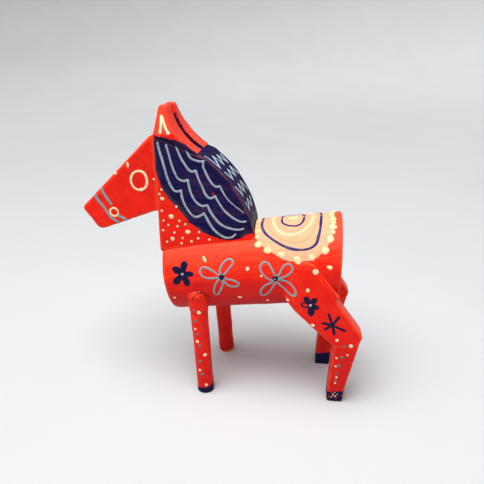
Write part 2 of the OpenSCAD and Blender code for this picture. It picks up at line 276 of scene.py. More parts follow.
def mark_wear_and_painted_light(obj):
    """Stores how sharply each point stands out, for worn edges, or sinks in, for the painted shade in
    seams.
    Also stores how far it faces up: the paint is thinner there, and it is brightened as a painted highlight
    on top and darkened as painted shade underneath."""
    mesh = obj.data
    co = points_of(obj)
    ends = np.empty(len(mesh.edges) * 2, np.int32)
    mesh.edges.foreach_get("vertices", ends)
    ends = ends.reshape(-1, 2)
    normals = normals_of(obj)
    total = np.zeros_like(co)
    count = np.zeros(len(co))
    for a, b in ((0, 1), (1, 0)):
        np.add.at(total, ends[:, a], co[ends[:, b]])
        np.add.at(count, ends[:, a], 1)
    bulge = np.einsum("ij,ij->i", co - total / np.maximum(count, 1)[:, None], normals)
    for _ in range(3):
        spread = np.zeros(len(co))
        for a, b in ((0, 1), (1, 0)):
            np.add.at(spread, ends[:, a], bulge[ends[:, b]])
        bulge = 0.4 * bulge + 0.6 * spread / np.maximum(count, 1)
    set_attribute(obj, "edge", bulge / (0.05 * sizes().voxel))
    set_attribute(obj, "top", normals[:, 2])


def merged_copy(nodes, name):
    """One merged mesh copied from CAD nodes, ready to carve."""
    copies = []
    for node in nodes:
        obj = bpy.data.objects.new(node + "_part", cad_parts[node].data.copy())
        bpy.context.scene.collection.objects.link(obj)
        copies.append(obj)
    obj = join(name, copies)
    bpy.ops.object.mode_set(mode="EDIT")
    bpy.ops.mesh.select_all(action="SELECT")
    bpy.ops.mesh.remove_doubles(threshold=0.002 * MM)
    bpy.ops.object.mode_set(mode="OBJECT")
    return obj


def carved(nodes, name, rounding, wobble=0.3 * MM, step=1.0, tip_above=None):
    """A carved block from one node, or from several whose joints were filled and rubbed smooth.
    Its edges are rubbed round and its faces slightly uneven; above tip_above it is rubbed rounder still."""
    obj = merged_copy(nodes, name)
    apply_modifier(obj, "REMESH", mode="VOXEL", voxel_size=sizes().voxel * step)
    apply_modifier(obj, "SMOOTH", factor=0.5, iterations=rounding)
    if tip_above:
        tip = obj.vertex_groups.new(name="tip")
        tip.add([v.index for v in obj.data.vertices if v.co.z > tip_above], 1, "REPLACE")
        apply_modifier(obj, "SMOOTH", factor=0.5, iterations=4 * rounding, vertex_group="tip")
        obj.vertex_groups.clear()
    hand_wobble(obj, 9 * MM, wobble)
    return obj


def keep_biggest(obj):
    """Drops the loose slivers that a very thin edge leaves behind when it is carved."""
    name = obj.name
    only(obj)
    bpy.ops.mesh.separate(type="LOOSE")
    parts = sorted(bpy.context.selected_objects, key=lambda part: len(part.data.vertices))
    for sliver in parts[:-1]:
        bpy.data.objects.remove(sliver)
    parts[-1].name = name
    return parts[-1]


def cut_off(obj, name, point, normal):
    """Splits a carved form at a flat seam: obj keeps the side the normal points to.
    The rest is returned as a new object."""
    only(obj)
    bpy.ops.object.duplicate()
    other = bpy.context.object
    other.name = name
    for piece, clear_inner in ((obj, True), (other, False)):
        only(piece)
        bpy.ops.object.mode_set(mode="EDIT")
        bpy.ops.mesh.select_all(action="SELECT")
        bpy.ops.mesh.bisect(plane_co=point, plane_no=normal, use_fill=True,
                            clear_inner=clear_inner, clear_outer=not clear_inner)
        bpy.ops.object.mode_set(mode="OBJECT")
    return other


# ---------------------------------------------------------------- paint materials

class Recipe:
    """A small helper that adds and joins shader nodes."""

    def __init__(self, name):
        self.material = bpy.data.materials.new(name)
        self.material.use_nodes = True
        self.tree = self.material.node_tree
        self.shader = self.tree.nodes["Principled BSDF"]
        self.place = self.add("ShaderNodeTexCoord").outputs["Object"]
        split = self.add("ShaderNodeSeparateXYZ")
        self.put(split.inputs[0], self.place)
        self.height = split.outputs["Z"]

    def add(self, kind, **settings):
        node = self.tree.nodes.new(kind)
        for key, value in settings.items():
            setattr(node, key, value)
        return node

    def put(self, socket, value):
        if isinstance(value, bpy.types.NodeSocket):
            self.tree.links.new(value, socket)
        elif hasattr(value, "__len__") and socket.type == "RGBA":
            socket.default_value = (*value[:3], 1)
        else:
            socket.default_value = value

    def noise(self, scale, detail=3.0, roughness=0.55, stretch=None, turn=(0, 0, 0), shift=(0, 0, 0)):
        """Noise with the given grains a metre; stretch gives grains a metre along each axis instead."""
        node = self.add("ShaderNodeTexNoise")
        source = self.place
        if stretch:
            mapping = self.add("ShaderNodeMapping", vector_type="TEXTURE")
            self.put(mapping.inputs["Vector"], self.place)
            self.put(mapping.inputs["Rotation"], turn)
            self.put(mapping.inputs["Scale"], tuple(1 / s for s in stretch))
            self.put(mapping.inputs["Location"], shift)
            source = mapping.outputs["Vector"]
            scale = 1.0
        self.put(node.inputs["Vector"], source)
        self.put(node.inputs["Scale"], scale)
        self.put(node.inputs["Detail"], detail)
        self.put(node.inputs["Roughness"], roughness)
        return node.outputs["Fac"]

    def math(self, operation, a, b):
        node = self.add("ShaderNodeMath", operation=operation)
        self.put(node.inputs[0], a)
        self.put(node.inputs[1], b)
        return node.outputs[0]

    def times(self, a, b):
        return self.math("MULTIPLY", a, b)

    def sum(self, *parts):
        """Adds up pairs of a value and its weight."""
        total = None
        for value, weight in parts:
            part = value if weight == 1 else self.times(value, weight)
            total = part if total is None else self.math("ADD", total, part)
        return total

    def ramp(self, value, low, high, to_low=0.0, to_high=1.0):
        node = self.add("ShaderNodeMapRange", clamp=True)
        for key, number in zip(("Value", "From Min", "From Max", "To Min", "To Max"),
                               (value, low, high, to_low, to_high)):
            self.put(node.inputs[key], number)
        return node.outputs[0]

    def mix(self, factor, a, b):
        node = self.add("ShaderNodeMix", data_type="RGBA")
        self.put(node.inputs[0], factor)
        self.put(node.inputs[6], a)
        self.put(node.inputs[7], b)
        return node.outputs[2]

    def attribute(self, name):
        return self.add("ShaderNodeAttribute", attribute_name=name).outputs["Fac"]

    def bump(self, height, distance):
        node = self.add("ShaderNodeBump")
        self.put(node.inputs["Height"], height)
        self.put(node.inputs["Distance"], distance)
        self.put(node.inputs["Strength"], 1.0)
        return node.outputs["Normal"]

    def finish(self, colour, roughness, normal, coat=0.0):
        self.put(self.shader.inputs["Base Color"], colour)
        self.put(self.shader.inputs["Roughness"], roughness)
        self.put(self.shader.inputs["Normal"], normal)
        self.shader.inputs["Coat Weight"].default_value = coat
        self.shader.inputs["Coat Roughness"].default_value = 0.3
        self.shader.inputs["Specular IOR Level"].default_value = GLOSS
        return self.material


def red_coat(r, stretch, turn, brushed):
    """Brushed red over wood grain: orange where thin or worn, crimson where thick.
    Orange is also painted as a highlight where the wood faces up, and crimson as shade low down, facing
    down and in seams;
    brushed sets how deep the thick paint lies and how strong that painted highlight is.
    """
    c = colours()
    r.streak = r.noise(1, detail=5, roughness=0.65, stretch=stretch, turn=turn)
    r.wide = r.noise(1, detail=3, stretch=tuple(s * 0.32 for s in stretch), turn=turn, shift=(0.1, 0.2, 0))
    r.hairs = r.noise(1, detail=4, roughness=0.7, stretch=tuple(s * 1.9 for s in stretch), turn=turn,
                      shift=(0, 0.3, 0.1))
    r.edge = r.attribute("edge")
    top = r.attribute("top")
    mottle = r.noise(90, detail=4)
    thick = r.ramp(r.sum((r.wide, 0.6), (mottle, 0.4)), 0.38, 0.62)
    base = r.mix(thick, r.mix(1 - 0.45 * brushed, c.crimson, c.red), c.red)
    # orange where the wood faces up: partly thinner paint, partly a painted highlight
    painted_top_highlight = r.ramp(r.sum((top, 0.36), (r.streak, 0.5), (r.hairs, 0.5)), 0.50, 0.95)
    base = r.mix(r.times(painted_top_highlight, 0.5 + 0.4 * brushed), base, c.orange)
    # painted shade: crimson near the floor and where the wood faces down
    painted_shade_near_floor = r.ramp(r.height, 45 * MM, 5 * MM, 0.0, 0.5)
    low = r.ramp(r.sum((top, -1), (r.hairs, 0.6), (painted_shade_near_floor, 1)), 0.30, 1.05)
    base = r.mix(r.times(low, 0.8), base, c.crimson)
    worn = r.ramp(r.sum((r.edge, 1), (r.streak, 0.8)), 0.85, 1.7)
    base = r.mix(r.times(worn, 0.4), base, c.orange)
    # painted shade: crimson in seams and hollows
    seam = r.ramp(r.edge, -0.6, -2.0)
    return r.mix(r.times(seam, 0.6), base, c.crimson)


def painted_wood(name, stretch, turn, brushed=1.0, layer=None, second=None, flaked=0.0):
    """Red painted wood, with the second paint where the layer attribute is positive.
    flaked is how much of the second paint has come off."""
    r = Recipe(name)
    base = red_coat(r, stretch, turn, brushed)
    pores = r.noise(1700, detail=2)
    height = r.sum((r.streak, 1), (r.hairs, 0.5), (pores, 0.22))
    roughness = r.ramp(r.streak, 0.3, 0.7, 0.34, 0.52)
    if layer:
        shaky = r.noise(420, detail=3)
        inside = r.math("SUBTRACT", r.sum((r.attribute(layer), 1), (shaky, 1.3), (r.streak, 0.7)), 1.0)
        cover = r.ramp(inside, -0.12, 0.22)
        if flaked:
            start = 0.70 - 0.2 * flaked
            gone = r.ramp(r.noise(560, detail=4, roughness=0.7), start, start + 0.04)
            cover = r.times(cover, r.math("SUBTRACT", 1.0, gone))
        base = r.mix(cover, base, second(r, inside))
        height = r.sum((height, 1), (cover, 1.6))
        roughness = r.times(roughness, r.ramp(cover, 0, 1, 1.0, 1.6))
    return r.finish(base, roughness, r.bump(height, 0.13 * MM))


def two_tone(thick, thin):
    """A second paint, laid on thick in some patches and thin in others."""
    def mixed(r, inside):
        patches = r.ramp(r.sum((r.wide, 0.5), (r.hairs, 0.5)), 0.44, 0.64)
        return r.mix(patches, thick, thin)
    return mixed


def mane_paint(thick, thin):
    """The mane's dark paint: bluer patches, a greyer rim painted as a sheen along its border, bare edges
    and a dry scuffed foot.
    """
    def mixed(r, inside):
        blue = r.ramp(r.noise(55, detail=2), 0.42, 0.58)
        dark = r.mix(blue, thick, DEEP_BLUE)
        patches = r.ramp(r.sum((r.wide, 0.5), (r.hairs, 0.5)), 0.44, 0.64)
        patches = r.times(patches, r.ramp(r.noise(38, detail=1), 0.36, 0.60))
        paint = r.mix(patches, dark, thin)
        # painted sheen: a greyer rim along the mane's border
        rim = r.times(r.ramp(inside, 1.9, 0.3), r.ramp(r.noise(140, detail=3), 0.4, 0.6))
        paint = r.mix(r.times(rim, 0.75), paint, (0.05, 0.065, 0.10))
        bare = r.ramp(r.sum((r.edge, 1), (r.wide, 2.4)), 2.1, 2.8)
        paint = r.mix(r.times(bare, 0.5), paint, (0.22, 0.07, 0.07))
        scratches = r.noise(1, detail=5, roughness=0.7, stretch=(500, 500, 200))
        dry = r.ramp(r.sum((r.attribute("scuff"), 1), (scratches, 1)), 1.05, 1.25)
        return r.mix(r.times(dry, 0.8), paint, (0.15, 0.16, 0.20))
    return mixed


def brush_paint(name, colour, under, streakiness, coat=0.1):
    """Paint of a single stroke or dot: a little uneven, with what lies under it showing faintly."""
    r = Recipe(name)
    cloud = r.noise(600, detail=4, roughness=0.6)
    hair = r.noise(2600, detail=2)
    base = r.mix(r.times(r.ramp(cloud, 0.50, 0.72), streakiness), colour, under)
    height = r.sum((cloud, 1), (hair, 0.3))
    return r.finish(base, r.ramp(cloud, 0.3, 0.7, 0.34, 0.55), r.bump(height, 0.08 * MM), coat=coat)


def bare_wood(name):
    """Pale dowel wood with grain along its length."""
    c = colours()
    r = Recipe(name)
    grain = r.noise(1, detail=6, roughness=0.7, stretch=(500, 500, 60))
    pores = r.noise(1, detail=3, stretch=(2200, 2200, 220), shift=(0.3, 0.1, 0))
    dark = tuple(v * 0.45 for v in c.wood)
    base = r.mix(r.ramp(grain, 0.35, 0.68), c.wood, dark)
    base = r.mix(r.times(r.ramp(pores, 0.62, 0.7), 0.6), base, tuple(v * 0.25 for v in c.wood))
    return r.finish(base, r.ramp(grain, 0.3, 0.7, 0.6, 0.8), r.bump(grain, 0.1 * MM))


_made = {}


def paint(kind):
    """The paint of that name, mixed once."""
    c = colours()
    dark_teal = tuple(v * 0.5 for v in c.teal)
    faded_under = (0.16, 0.10, 0.2)
    if kind not in _made:
        makers = {
            "grey_blue": lambda: brush_paint("grey_blue_stroke", c.grey_blue, c.navy, 0.45),
            "pale_blue": lambda: brush_paint("pale_blue_stroke", (0.42, 0.52, 0.62), c.navy, 0.35),
            "red": lambda: brush_paint("red_spot", c.crimson, c.navy, 0.5),
            "teal": lambda: brush_paint("teal_stroke", c.teal, c.red, 0.35),
            "dark_teal": lambda: brush_paint("dark_teal_dot", dark_teal, c.crimson, 0.6),
            "cream": lambda: brush_paint("cream_stroke", c.cream, c.orange, 0.30),
            "yellow": lambda: brush_paint("yellow_stroke", (0.93, 0.66, 0.36), c.peach, 0.45),
            "navy": lambda: brush_paint("navy_stroke", c.navy, (0.012, 0.008, 0.055), 0.7),
            "faded_navy": lambda: brush_paint("faded_navy_stroke", (0.02, 0.02, 0.13), faded_under, 0.8),
            "pink": lambda: brush_paint("pink_streak", (0.85, 0.34, 0.20), c.peach, 0.7),
            # a dark line of painted shadow in the cracks round the front legs' filler
            "crack": lambda: brush_paint("crack_shadow", (0.10, 0.004, 0.006), c.crimson, 0.7, coat=0.0),
            "bare_wood": lambda: bare_wood("dowel_wood"),
        }
        _made[kind] = makers[kind]()
    return _made[kind]


# ---------------------------------------------------------------- where brush marks land

_trees = {}


def wood_tree(names):
    """The surface of the named carved pieces, for finding where a mark lands."""
    key = tuple(names)
    if key not in _trees:
        points, faces = [], []
        for name in key:
            mesh = bpy.data.objects[name].data
            start = len(points)
            points += [v.co.copy() for v in mesh.vertices]
            faces += [[start + i for i in p.vertices] for p in mesh.polygons]
        _trees[key] = BVHTree.FromPolygons(points, faces)
    return _trees[key]


def lay(obj, names, ray, height):
    """Lays a flat piece of paint, drawn in millimetres with its thickness as z, on the wood."""
    tree = wood_tree(names)
    drawn = points_of(obj)
    aims = [ray(u, v) for u, v, w in drawn]
    hits = [tree.ray_cast(origin, -outward) for origin, outward in aims]
    depth = float(np.median([hit[3] for hit in hits if hit[0] is not None]))
    laid = []
    for (origin, outward), (place, _, _, reach), w in zip(aims, hits, drawn[:, 2]):
        if place is None or reach > depth + OVER_EDGE:
            aimed = origin - outward * depth
            place = tree.find_nearest(aimed)[0].lerp(aimed, 0.08)
        laid.append(place + outward * height * (w if w > 0 else 0.6 * w))
    set_points(obj, np.array(laid))
    corner, outward = ray(0, 0)
    if (ray(1, 0)[0] - corner).cross(ray(0, 1)[0] - corner).dot(outward) < 0:
        obj.data.flip_normals()             # this chart is a mirror image, so the faces turned inwards
    return obj


def side_ray(x_start, x_sign, side):
    """A flat chart seen from one side: u runs along the figure from x_start, v is the height."""
    outward = Vector((0, side, 0))

    def ray(u, v):
        return Vector((x_start + x_sign * u * MM, side * FAR, v * MM)), outward
    return ray


def log_ray(side):
    """The log's chart: u from the chest end, v round the log from its top, down the given side."""
    s = sizes()
    along = Vector((math.cos(s.log_tilt), 0, math.sin(s.log_tilt)))
    up = Vector((-math.sin(s.log_tilt), 0, math.cos(s.log_tilt)))
    middle = Vector((s.log_mid_x, 0, s.log_mid_z))

    def ray(u, v):
        turn = v / LOG_R
        outward = up * math.cos(turn) + Vector((0, side * math.sin(turn), 0))
        return middle + along * (u * MM - s.log_half) + outward * FAR, outward
    return ray


def leg_ray(node, side):
    """A round leg's chart: u up the leg from the floor, v round it from its outer face to its back."""
    co = points_of(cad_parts[node])
    foot = Vector(co[co[:, 2] < co[:, 2].min() + 0.2 * MM].mean(0))
    head = Vector(co[co[:, 2] > co[:, 2].max() - 1.5 * MM].mean(0))
    along = (head - foot).normalized()

    def ray(u, v):
        turn = v / LEG_R
        outward = Vector((math.sin(turn), side * math.cos(turn), 0))
        return foot + along * u * MM + outward * FAR, outward
    return ray


def crest_ray():
    """The crest's chart: u across the neck, v down the crest from its top."""
    top = Vector((NECK_FRONT + 22 * MM, 0, 114 * MM))
    foot = Vector((NECK_HIGH.x - 0.7 * MM, 0, 82 * MM))
    down = (foot - top).normalized()
    outward = Vector((-down.z, 0, down.x))

    def ray(u, v):
        return top + down * v * MM + Vector((0, u * MM, 0)) + outward * FAR, outward
    return ray


def wrapped(places, radius):
    """Places given as (distance along, degrees round) as millimetres on a chart of that radius."""
    return [(p[0], math.radians(p[1]) * radius, *p[2:]) for p in places]


# ---------------------------------------------------------------- strokes and dots

def strokes(name, paths, width, seed, closed=False):
    """Brush strokes on a flat chart: each path is a list of (u, v), drawn with a loaded round brush."""
    rnd = random.Random(seed)
    bpy.ops.object.select_all(action="DESELECT")
    bpy.ops.curve.primitive_bezier_curve_add()
    obj = bpy.context.object
    obj.name = name
    curve = obj.data
    curve.splines.clear()
    curve.dimensions = "3D"
    curve.twist_mode = "Z_UP"
    curve.resolution_u = 4
    curve.bevel_depth = 1.0
    curve.bevel_resolution = 2
    curve.use_fill_caps = True
    half = width / 2
    for path in paths:
        fat = [p[2] if len(p) > 2 else 1.0 for p in path]
        path = [Vector((p[0], p[1], 0)) for p in path]
        spline = curve.splines.new("BEZIER")
        spots = [(p, half * f * rnd.uniform(0.86, 1.16)) for p, f in zip(path, fat)]
        if closed:
            spline.use_cyclic_u = True
        else:
            first = (path[1] - path[0]).normalized()
            last = (path[-1] - path[-2]).normalized()
            r0, r1 = spots[0][1], spots[-1][1]
            before = [(path[0] - first * r0 * far, r0 * thick) for far, thick in TIPS]
            after = [(path[-1] + last * r1 * far, r1 * thick) for far, thick in reversed(TIPS)]
            spots = before + spots + after
        spline.bezier_points.add(len(spots) - 1)
        for point, (place, radius) in zip(spline.bezier_points, spots):
            point.co = place
            point.radius = radius
            point.handle_left_type = point.handle_right_type = "AUTO"
    only(obj)
    bpy.ops.object.convert(target="MESH")
    obj = bpy.context.object
    co = points_of(obj)
    co[:, 2] /= half
    set_points(obj, co)
    return obj


def one_dot():
    """A drop of paint: a ball with its underside cut off and its top pressed flat."""
    bpy.ops.object.select_all(action="DESELECT")
    bpy.ops.mesh.primitive_uv_sphere_add(segments=14, ring_count=8, radius=1)
    obj = bpy.context.object
    bpy.ops.object.mode_set(mode="EDIT")
    bpy.ops.mesh.select_all(action="SELECT")
    bpy.ops.mesh.bisect(plane_co=(0, 0, -0.4), plane_no=(0, 0, 1), clear_inner=True, use_fill=True)
    bpy.ops.object.mode_set(mode="OBJECT")
    co = points_of(obj)
    co[:, 2] = np.where(co[:, 2] > 0, 1 - (1 - np.clip(co[:, 2], 0, 1)) ** 1.6, co[:, 2])
    set_points(obj, co)
    return obj


def dots(name, places, seed):
    """Dots of paint on a flat chart: (u, v, radius) or (u, v, radius, length, turn), all in millimetres."""
    rnd = random.Random(seed)
    first = one_dot()
    copies = []
    for place in places:
        u, v, radius = place[:3]
        long = place[3] if len(place) > 3 else radius * rnd.uniform(1.0, 1.15)
        turn = math.radians(place[4]) if len(place) > 4 else rnd.uniform(0, math.pi)
        copy = first.copy()
        copy.data = first.data.copy()
        bpy.context.scene.collection.objects.link(copy)
        co = points_of(copy)
        angle = np.arctan2(co[:, 1], co[:, 0])
        uneven = 1 + 0.07 * np.sin(2 * angle + rnd.uniform(0, 6))
        uneven = uneven + 0.05 * np.sin(3 * angle + rnd.uniform(0, 6))
        x, y = co[:, 0] * long * uneven, co[:, 1] * radius * uneven
        co[:, 0] = u + x * math.cos(turn) - y * math.sin(turn)
        co[:, 1] = v + x * math.sin(turn) + y * math.cos(turn)
        set_points(copy, co)
        copies.append(copy)
    bpy.data.objects.remove(first)
    return join(name, copies)


def shaken(path, side, slip, seed):
    """The far side repeats the near side's marks by hand, so they land up to slip (mm) off."""
    if side == LEFT:
        return path
    rnd = random.Random(seed + len(path))
    du, dv = rnd.uniform(-slip, slip) * 2, rnd.uniform(-slip, slip)
    return [(p[0] + du + rnd.uniform(-slip, slip), p[1] + dv + rnd.uniform(-slip, slip), *p[2:])
            for p in path]


def lines(surface, paths, width, slip, seed=0, slip_seed=3, closed=False):
    """A drawer of strokes for either side; surface gives that side's wood and chart."""
    def draw(side, hand):
        moved = [shaken(path, side, slip, slip_seed) for path in paths]
        obj = strokes("mark", moved, width, seed + hand, closed)
        return lay(obj, *surface(side), sizes().line_height)
    return draw


def spots(surface, places, height, slip, seed=0, slip_seed=3):
    """A drawer of dots for either side."""
    def draw(side, hand):
        obj = dots("mark", shaken(places, side, slip, slip_seed), seed + hand)
        return lay(obj, *surface(side), height)
    return draw


def mirrored(draw, name):
    """Draws the same marks on both sides of the figure, a little differently, as one piece."""
    return join(name, [draw(LEFT, NEAR_HAND), draw(RIGHT, FAR_HAND)])


def both_sides(name, draw, slot, kind):
    """The same marks on both sides of the figure, finished as one piece."""
    finish_piece(mirrored(draw, name), slot, paint(kind))


# ---------------------------------------------------------------- outlines of the painted areas

MANE = [(0.4, 120.5), (-0.2, 116), (-0.2, 110.5), (1.5, 103.7), (2.8, 99), (5.4, 95), (8.6, 91.4),
        (14, 84.4), (20.4, 79.6), (27, 76.8), (31, 76.2), (36.2, 77.3), (39.8, 80), (48, 80), (48, 112),
        (23, 116), (20, 118), (14.5, 119.5), (8.5, 121.4), (3, 121.4)]
EAR_FOOT = [(0.4, 118), (0.6, 122.6), (2.5, 121.8), (5, 121.4), (10.3, 120.2), (12.4, 119), (15.4, 117.2),
            (19, 114.2), (22, 111.6), (22, 100), (0.8, 100)]
SADDLE = [(41.5, -10), (41.8, 22), (43, 36), (45.5, 46), (48, 54), (51.5, 61), (54.5, 66.5), (57.5, 69.5),
          (61, 71), (64, 71), (67.5, 69), (70.5, 64), (73, 57), (75, 49), (76.5, 39), (77, 26), (77, 14),
          (76.5, -10)]


def add_mane(obj, outline, outside=0.0):
    """The mane paint lies inside the outline, and only further than outside (mm) from the middle."""
    co = points_of(obj)
    flat = np.stack([(co[:, 0] - NECK_FRONT) / MM, co[:, 2] / MM], 1)
    inside = outline_distance(flat, outline)
    if outside:
        inside = np.minimum(inside, np.abs(co[:, 1]) / MM - outside)
    set_attribute(obj, "mane", inside)


def sink_foot(obj):
    """The neck's foot is bedded in the log's top, so no gap shows along the joint."""
    co = points_of(obj)
    over = np.hypot(co[:, 2] - log_line(co[:, 0]), co[:, 1]) - LOG_R * MM
    co[:, 2] -= FOOT_SINK * MM * between(over, BED_REACH * MM, 0)
    set_points(obj, co)


def bed_in_neck(obj):
    """The back of the head is bedded in the neck's front face, so the joint is only a fine line."""
    co = points_of(obj)
    co[:, 0] += HEAD_SINK * MM * between(co[:, 0], NECK_FRONT - BED_REACH * MM, NECK_FRONT)
    set_points(obj, co)


def add_scuff(obj):
    """The mane paint is rubbed grey towards the foot of the crest."""
    co = points_of(obj) / MM
    foot = NECK_HIGH.x / MM
    low = between(co[:, 2], 100, 84)
    rear = between(co[:, 0], foot - 12, foot - 5) * (np.abs(co[:, 1]) < 10.2)
    set_attribute(obj, "scuff", 0.68 * low * rear)


def add_saddle(obj):
    """The saddle cloth lies inside its outline, which is wrapped over the log."""
    co = points_of(obj)
    along, upward = along_and_up(co)
    around = np.arctan2(np.abs(co[:, 1]), upward) * LOG_R
    flat = np.stack([(along + sizes().log_half) / MM, around], 1)
    set_attribute(obj, "saddle", outline_distance(flat, wrapped(SADDLE, LOG_R)))


def add_hoof(obj, height, rise=0.0):
    """The hoof paint reaches up to height, and rise higher at the back than at the front."""
    co = points_of(obj) / MM
    low = co[:, 2] < 8
    middle = co[low, 0].mean()
    set_attribute(obj, "hoof", height + rise * (co[:, 0] - middle) / 4 - co[:, 2])


# ---------------------------------------------------------------- the wooden pieces

class HORSE_OT_carve_log(bpy.types.Operator):
    """Carve the log body and paint it red with a peach saddle cloth"""
    bl_idname = "horse.carve_log"
    bl_label = "Log body"

    def execute(self, context):
        c = colours()
        obj = carved(["body_log"], "body_log_carved", rounding=3, wobble=0.35 * MM)
        mark_wear_and_painted_light(obj)
        add_saddle(obj)
        light = tuple(min(1, v * k) for v, k in zip(c.peach, (1.04, 1.16, 1.18)))
        skin = painted_wood("log_paint", (90, 800, 800), (0, -sizes().log_tilt, 0), layer="saddle",
                            second=two_tone(c.peach, light))
        finish_piece(obj, "red_paint", skin, ["body_log"])
        return {"FINISHED"}


class HORSE_OT_carve_neck(bpy.types.Operator):
    """Carve the neck block, with the dark mane leaf on each side and over the crest"""
    bl_idname = "horse.carve_neck"
    bl_label = "Neck and mane"

    def execute(self, context):
        c = colours()
        obj = carved(["neck_block"], "neck_block_carved", rounding=7, wobble=0.35 * MM)
        sink_foot(obj)
        mark_wear_and_painted_light(obj)
        add_mane(obj, MANE)
        add_scuff(obj)
        skin = painted_wood("neck_paint", (110, 500, 800), (0, 0.12, 0), 0.5, "mane",
                            mane_paint(c.navy, c.plum))
        finish_piece(obj, "navy_paint", skin, ["neck_block"])
        return {"FINISHED"}


class HORSE_OT_carve_head(bpy.types.Operator):
    """Carve the wedge-shaped head"""
    bl_idname = "horse.carve_head"
    bl_label = "Head"

    def execute(self, context):
        obj = carved(["head_block"], "head_block_carved", rounding=9, wobble=0.4 * MM)
        bed_in_neck(obj)
        mark_wear_and_painted_light(obj)
        skin = painted_wood("head_paint", (110, 420, 420), (0, 0.7, 0), 0.75)
        finish_piece(obj, "red_paint", skin, ["head_block"])
        return {"FINISHED"}


class HORSE_OT_carve_ears(bpy.types.Operator):
    """Carve the two ears, with the mane paint brushed over their feet"""
    bl_idname = "horse.carve_ears"
    bl_label = "Ears"

    def execute(self, context):
        c = colours()
        skin = painted_wood("ear_paint", (600, 600, 120), (0, 0.6, 0), 0.5, "mane",
                            two_tone(c.navy, c.plum))
        for node in ("left_ear", "right_ear"):
            obj = keep_biggest(carved([node], node + "_carved", rounding=8, step=0.7, tip_above=124 * MM))
            mark_wear_and_painted_light(obj)
            add_mane(obj, EAR_FOOT, outside=11.5)
            finish_piece(obj, "red_paint", skin, [node])
        return {"FINISHED"}


def dome_into_log(obj):
    """A leg's top ends in a low dome of filler on the log's side."""
    co = points_of(obj)
    top = co[:, 2] > DOME_LOW * MM
    middle = co[top, 0].mean()
    radius = np.hypot(co[:, 2] - log_line(co[:, 0]), co[:, 1])
    proud = radius - FILLER_R * MM
    out = ((co[:, 0] - middle) / (DOME_HALF * MM)) ** 2 + ((co[:, 2] / MM - DOME_LOW) / DOME_RISE) ** 2
    keep = between(out, 1.05, 0.5) ** 0.6
    scale = np.where((proud > 0) & top, (FILLER_R * MM + proud * keep) / radius, 1)
    co[:, 2] = log_line(co[:, 0]) + (co[:, 2] - log_line(co[:, 0])) * scale
    co[:, 1] *= scale
    set_points(obj, co)


class HORSE_OT_carve_front_legs(bpy.types.Operator):
    """Shape the two round front legs and the paint-filled collars round their tops"""
    bl_idname = "horse.carve_front_legs"
    bl_label = "Front legs"

    def execute(self, context):
        c = colours()
        near = painted_wood("front_leg_paint", (500, 500, 110), (0, 0, 0), 0.7, "hoof",
                            two_tone(c.navy, HOOF_BLUE), flaked=0.1)
        # the far leg gets a stronger painted highlight (brushed 1.1) than the near one
        far = painted_wood("far_leg_highlit_paint", (400, 400, 90), (0, 0, 0), 1.1, "hoof",
                           two_tone((0.75, 0.30, 0.03), c.orange), flaked=0.6)
        for side, hoof, skin in (("left", 3.4, near), ("right", 0.9, far)):
            nodes = [side + "_front_leg", side + "_front_collar"]
            leg = carved(nodes, side + "_front_leg_carved", rounding=10, wobble=0.5 * MM, step=0.8)
            dome_into_log(leg)
            mark_wear_and_painted_light(leg)
            add_hoof(leg, hoof, 0.8)
            finish_piece(leg, "red_paint", skin, nodes)
        return {"FINISHED"}


def rub_into_log(obj):
    """The upper front of a thigh is filled and rubbed down until it runs into the log's side."""
    s = sizes()
    co = points_of(obj)
    x, z = co[:, 0] / MM, co[:, 2] / MM
    along, upward = along_and_up(co)
    radius = np.hypot(upward, co[:, 1])
    log_radius = LOG_R * MM + along / s.log_half * LOG_TAPER * MM
    proud = radius - log_radius
    front_edge = np.interp(z, FILL_HEIGHTS, FILL_FRONTS)
    from_front = ease(between(x, front_edge, front_edge + 9))
    keep = np.minimum(from_front, ease(between(z, FILL_TOP, FILL_TOP - 7)))
    keep = 1 - between(z, FILL_FOOT, FILL_FOOT + 9) * (1 - keep)
    scale = np.where(proud > 0, (log_radius + proud * keep - FILL_SKIN * MM * (1 - keep)) / radius, 1)
    sink = upward * (scale - 1)
    co[:, 0] -= sink * math.sin(s.log_tilt)
    co[:, 2] += sink * math.cos(s.log_tilt)
    co[:, 1] *= scale
    set_points(obj, co)


class HORSE_OT_carve_hind_legs(bpy.types.Operator):
    """Carve each hind leg as one rubbed-down form, split at its hock joint"""
    bl_idname = "horse.carve_hind_legs"
    bl_label = "Hind legs"

    def execute(self, context):
        c = colours()
        near = painted_wood("hind_leg_paint", (260, 500, 260), (0, 0.6, 0), 0.6, "hoof",
                            two_tone(c.navy, HOOF_BLUE), flaked=0.75)
        # the far hind leg gets a stronger painted highlight (brushed 1.1) than the near one
        far = painted_wood("far_hind_leg_highlit_paint", (260, 500, 260), (0, 0.6, 0), 1.1, "hoof",
                           two_tone(c.navy, HOOF_BLUE), flaked=0.1)
        for side, hoof, skin in (("left", 6.3, near), ("right", 6.6, far)):
            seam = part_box(side + "_shank")[1]
            thigh = carved([side + "_thigh", side + "_hip_filler", side + "_shank"],
                           side + "_thigh_carved", rounding=10, step=0.8)
            rub_into_log(thigh)
            shank = cut_off(thigh, side + "_shank_carved", (seam.x, 0, seam.z), HOCK_NORMAL)
            for obj in (thigh, shank):
                mark_wear_and_painted_light(obj)
            add_hoof(shank, hoof, 0.5)
            set_attribute(thigh, "hoof", np.full(len(thigh.data.vertices), -9.0))
            finish_piece(thigh, "red_paint", skin, [side + "_thigh", side + "_hip_filler"])
            finish_piece(shank, "red_paint", skin, [side + "_shank"])
        return {"FINISHED"}


